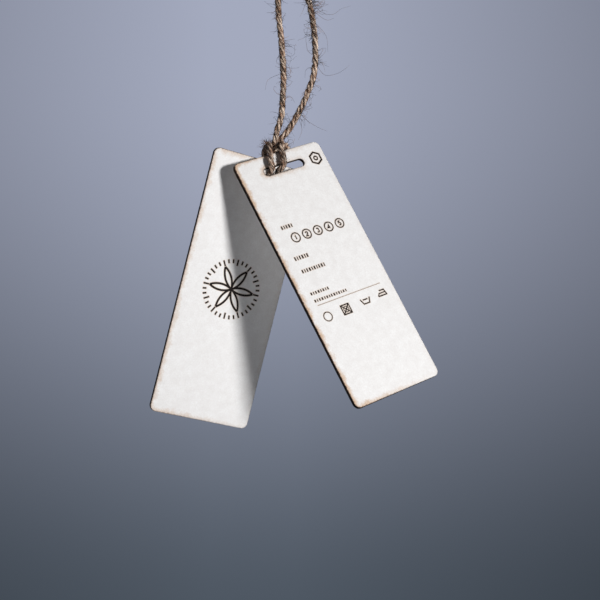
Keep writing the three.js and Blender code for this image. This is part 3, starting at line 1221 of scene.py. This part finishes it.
def add_lamps(stage):
    """The soft boxes, which the camera doesn't see."""
    for name, (direction, size, watts) in LAMPS.items():
        lamp = bpy.data.lights.new(name, "AREA")
        lamp.shape = "SQUARE"
        lamp.size = size
        lamp.energy = watts
        lamp.color = stage.lamp[:3]
        box = bpy.data.objects.new(name, lamp)
        bpy.context.scene.collection.objects.link(box)
        box.location = Vector(TAGS_MIDDLE) + Vector(direction).normalized() * stage.lamp_distance
        towards = Vector(TAGS_MIDDLE) - box.location
        box.rotation_euler = towards.to_track_quat("-Z", "Y").to_euler()
        box.visible_camera = False


def studio_air(stage):
    """The backdrop that is seen all round, and the even light that comes from it."""
    world = bpy.data.worlds.new("studio_air")
    world.use_nodes = True
    world.node_tree.nodes.clear()
    way = add_node(world, "TexCoord").outputs["Generated"]
    parts = add_node(world, "SeparateXYZ", {"Vector": way}).outputs
    rise = add_node(
        world,
        "MapRange",
        {"Value": parts["Z"], "From Min": -0.03, "From Max": 0.37},
        interpolation_type="SMOOTHSTEP",
    )
    risen = add_node(
        world, "Mix", {"Factor": rise, "A": stage.backdrop_low, "B": stage.backdrop_high}, data_type="RGBA"
    )
    # Behind the tags, the backdrop's light pools a little left of the middle and falls off all round
    beside = add_node(world, "Math", {0: parts["X"], 1: 0.034}, operation="ADD")
    off = add_node(world, "Math", {0: beside}, operation="ABSOLUTE")
    pool = add_node(world, "MapRange", {"Value": off, "From Min": 0.28, "From Max": 0.03, "To Min": 0.56})
    pooled = add_node(world, "VectorMath", {0: risen, "Scale": pool}, operation="SCALE")
    # Elsewhere it is even, in the floor's tone up to the height of the tags
    even = add_node(
        world, "Mix", {"Factor": rise, "A": stage.floor_seen, "B": stage.backdrop_high}, data_type="RGBA"
    )
    behind = add_node(
        world,
        "MapRange",
        {"Value": parts["Y"], "From Min": 0.5, "From Max": 0.88},
        interpolation_type="SMOOTHSTEP",
    )
    above = add_node(
        world,
        "MapRange",
        {"Value": parts["Z"], "From Min": -0.3, "From Max": -0.03},
        interpolation_type="SMOOTHSTEP",
    )
    share = add_node(world, "Math", {0: behind, 1: above}, operation="MULTIPLY")
    ground = add_node(world, "Mix", {"Factor": share, "A": even, "B": pooled}, data_type="RGBA")
    seen = add_node(world, "Background", {"Color": ground, "Strength": 1.0})
    light = add_node(world, "Background", {"Color": stage.sky, "Strength": 0.05})
    rays = add_node(world, "LightPath").outputs
    seen_ray = rays["Is Camera Ray"]
    for kind in ("Is Glossy Ray", "Is Transmission Ray"):
        seen_ray = add_node(world, "Math", {0: seen_ray, 1: rays[kind]}, operation="MAXIMUM")
    mixed = add_node(world, "MixShader", {0: seen_ray, 1: light, 2: seen})
    add_node(world, "OutputWorld", {"Surface": mixed})
    return world


def studio_floor(stage):
    """A round floor, which reaches a little past where it has faded away."""
    vertices = [(0.0, 0.0, 0.0)]
    for i in range(1, FLOOR_RINGS + 1):
        radius = stage.floor_radius * 1.02 * i / FLOOR_RINGS
        for k in range(FLOOR_SIDES):
            turn = TURN * k / FLOOR_SIDES
            vertices.append((radius * math.cos(turn), radius * math.sin(turn), 0.0))
    faces = [(0, 1 + k, 1 + (k + 1) % FLOOR_SIDES) for k in range(FLOOR_SIDES)]
    for start in range(1, 1 + (FLOOR_RINGS - 1) * FLOOR_SIDES, FLOOR_SIDES):
        for k in range(FLOOR_SIDES):
            here, beside = start + k, start + (k + 1) % FLOOR_SIDES
            faces.append((here, here + FLOOR_SIDES, beside + FLOOR_SIDES, beside))
    floor = mesh_object("studio_floor", vertices, faces, matt_floor(stage))
    floor.location.z = -stage.floor_drop


class SWINGTAG_OT_stage(bpy.types.Operator):
    """Sets up the camera, the soft lamps, the backdrop and the floor"""

    bl_idname = "swingtag.stage"
    bl_label = "Studio"

    def execute(self, context):
        stage = context.scene.tag_stage
        context.scene.view_settings.view_transform = "Standard"
        context.scene.world = studio_air(stage)
        add_camera(stage)
        add_lamps(stage)
        studio_floor(stage)
        return {"FINISHED"}


# Steps that build the pieces

def whole_loop(twine):
    """The strand from the left leg through the hitch to the right leg, and the rings where it parts."""
    route = [*reversed(LEFT_LEG_ROUTE), *HITCH_ROUTE, *RIGHT_LEG_ROUTE]
    strand = Strand(smooth_line(route), twine.ring_spacing)
    left_end, _ = strand.nearest(LEFT_LEG_ROUTE[0])
    middle = len(strand.run) // 2
    after = strand.centre[middle:] - np.array(RIGHT_LEG_ROUTE[0]) * MM
    return strand, left_end, middle + int(np.argmin(np.linalg.norm(after, axis=1)))


def knot_strand(twine):
    """The strand that is wound round both legs at the top."""
    radius_x = (KNOT_TWINE + LEG_GAP) / 2 + KNOT_TWINE + KNOT_SIDE_GAP
    radius_y = pitch = KNOT_TWINE + KNOT_GAP
    t = np.linspace(0, 1, 241)
    angle = TURN * KNOT_TURNS * t
    rise = pitch * KNOT_TURNS * (t - 0.5)
    line = np.stack([radius_x * np.cos(angle), radius_y * np.sin(angle), rise], axis=1)
    return Strand(line, twine.ring_spacing)


def jute_materials(twine):
    """The twine's two materials, made once."""
    laid = bpy.data.materials.get("natural_jute_laid_twine") or laid_jute(twine)
    loose = bpy.data.materials.get("natural_jute_loose_fibre") or loose_jute(twine)
    return laid, loose


class SWINGTAG_OT_hitch(bpy.types.Operator):
    """Lays the twine through both slots and over the tags as a lark's head"""

    bl_idname = "swingtag.hitch"
    bl_label = "Twine hitch"

    def execute(self, context):
        twine = context.scene.jute_twine
        laid, loose = jute_materials(twine)
        strand, first, last = whole_loop(twine)
        hitch = twine_piece("hitch_twine", strand, twine, first, last, laid)
        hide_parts("twine_hitch")
        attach(hitch, "hitch")
        draw = random.Random(twine.seed)
        fibres = stray_fibres(draw, strand, twine, context.scene.board_tags, first, last)
        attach(fibre_piece("hitch_loose_fibres", fibres, twine, loose), "hitch")
        return {"FINISHED"}


class SWINGTAG_OT_top_knot(bpy.types.Operator):
    """Winds the knot that holds the two legs together at the top"""

    bl_idname = "swingtag.top_knot"
    bl_label = "Top knot"

    def execute(self, context):
        twine = context.scene.jute_twine
        laid, loose = jute_materials(twine)
        strand = knot_strand(twine)
        knot = twine_piece("top_knot_twine", strand, twine, 0, strand.last, laid)
        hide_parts("twine_top_knot")
        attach(knot, "twine")
        draw = random.Random(twine.seed + 1)
        fibres = stray_fibres(draw, strand, twine, context.scene.board_tags, 0, strand.last)
        fibres += frayed_end(draw, strand, twine, True)
        fibres += frayed_end(draw, strand, twine, False)
        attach(fibre_piece("top_knot_loose_fibres", fibres, twine, loose), "twine")
        return {"FINISHED"}


class SWINGTAG_OT_legs(bpy.types.Operator):
    """Hangs the twine's two legs from the knot down to the hitch"""

    bl_idname = "swingtag.legs"
    bl_label = "Twine legs"

    def execute(self, context):
        twine = context.scene.jute_twine
        laid, loose = jute_materials(twine)
        strand, left_end, right_end = whole_loop(twine)
        draw = random.Random(twine.seed + 2)
        for side, first, last in (("left", 0, left_end), ("right", right_end, strand.last)):
            leg = twine_piece(f"{side}_leg_twine", strand, twine, first, last, laid)
            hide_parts(f"twine_{side}_leg")
            fibres = stray_fibres(draw, strand, twine, context.scene.board_tags, first, last)
            fibres += frayed_end(draw, strand, twine, side == "left")
            for points in LONG_FIBRES[side]:
                line = smooth_line([(x, 0.0, z) for x, z in points], 5)
                fibres.append([Vector(point) for point in line])
            hairs = fibre_piece(f"{side}_leg_loose_fibres", fibres, twine, loose)
            for piece in (leg, hairs):
                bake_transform(piece)
            path = strand.centre[first:last + 1]
            if side == "left":
                path = path[::-1]
        return {"FINISHED"}


class SWINGTAG_OT_tags(bpy.types.Operator):
    """Cuts and engraves the two board tags and hangs them in the hitch"""

    bl_idname = "swingtag.tags"
    bl_label = "Board tags"

    def execute(self, context):
        board = context.scene.board_tags
        materials = white_lined_board(board), charred_edge(board), engraved_board(board)
        tag_piece("front_tag", front_marks(), 1.0, materials)
        tag_piece("rear_tag", rear_marks(), 0.55, materials)
        return {"FINISHED"}


class SWINGTAG_PT_panel(bpy.types.Panel):
    """Lists the steps that build the tags, in order, with their sizes and colours"""

    bl_label = "Swing Tags"
    bl_idname = "SWINGTAG_PT_panel"
    bl_space_type = "VIEW_3D"
    bl_region_type = "UI"
    bl_category = "Swing Tags"

    def draw(self, context):
        for operator in OPERATORS:
            self.layout.operator(operator.bl_idname)
        for name, _ in SETTINGS:
            group = getattr(context.scene, name)
            box = self.layout.box()
            for setting in group.bl_rna.properties:
                if not setting.is_readonly:
                    box.prop(group, setting.identifier)


OPERATORS = (SWINGTAG_OT_stage, SWINGTAG_OT_hitch, SWINGTAG_OT_top_knot, SWINGTAG_OT_legs, SWINGTAG_OT_tags)
SETTINGS = (("board_tags", BoardSettings), ("jute_twine", TwineSettings), ("tag_stage", StageSettings))


def register():
    for name, group in SETTINGS:
        bpy.utils.register_class(group)
        setattr(bpy.types.Scene, name, PointerProperty(type=group))
    for operator in OPERATORS:
        bpy.utils.register_class(operator)
    bpy.utils.register_class(SWINGTAG_PT_panel)


def unregister():
    bpy.utils.unregister_class(SWINGTAG_PT_panel)
    for operator in reversed(OPERATORS):
        bpy.utils.unregister_class(operator)
    for name, group in reversed(SETTINGS):
        delattr(bpy.types.Scene, name)
        bpy.utils.unregister_class(group)


def main():
    register()
    bpy.ops.swingtag.stage()
    bpy.ops.swingtag.hitch()
    bpy.ops.swingtag.top_knot()
    bpy.ops.swingtag.legs()
    bpy.ops.swingtag.tags()


if __name__ == "__main__":
    main()
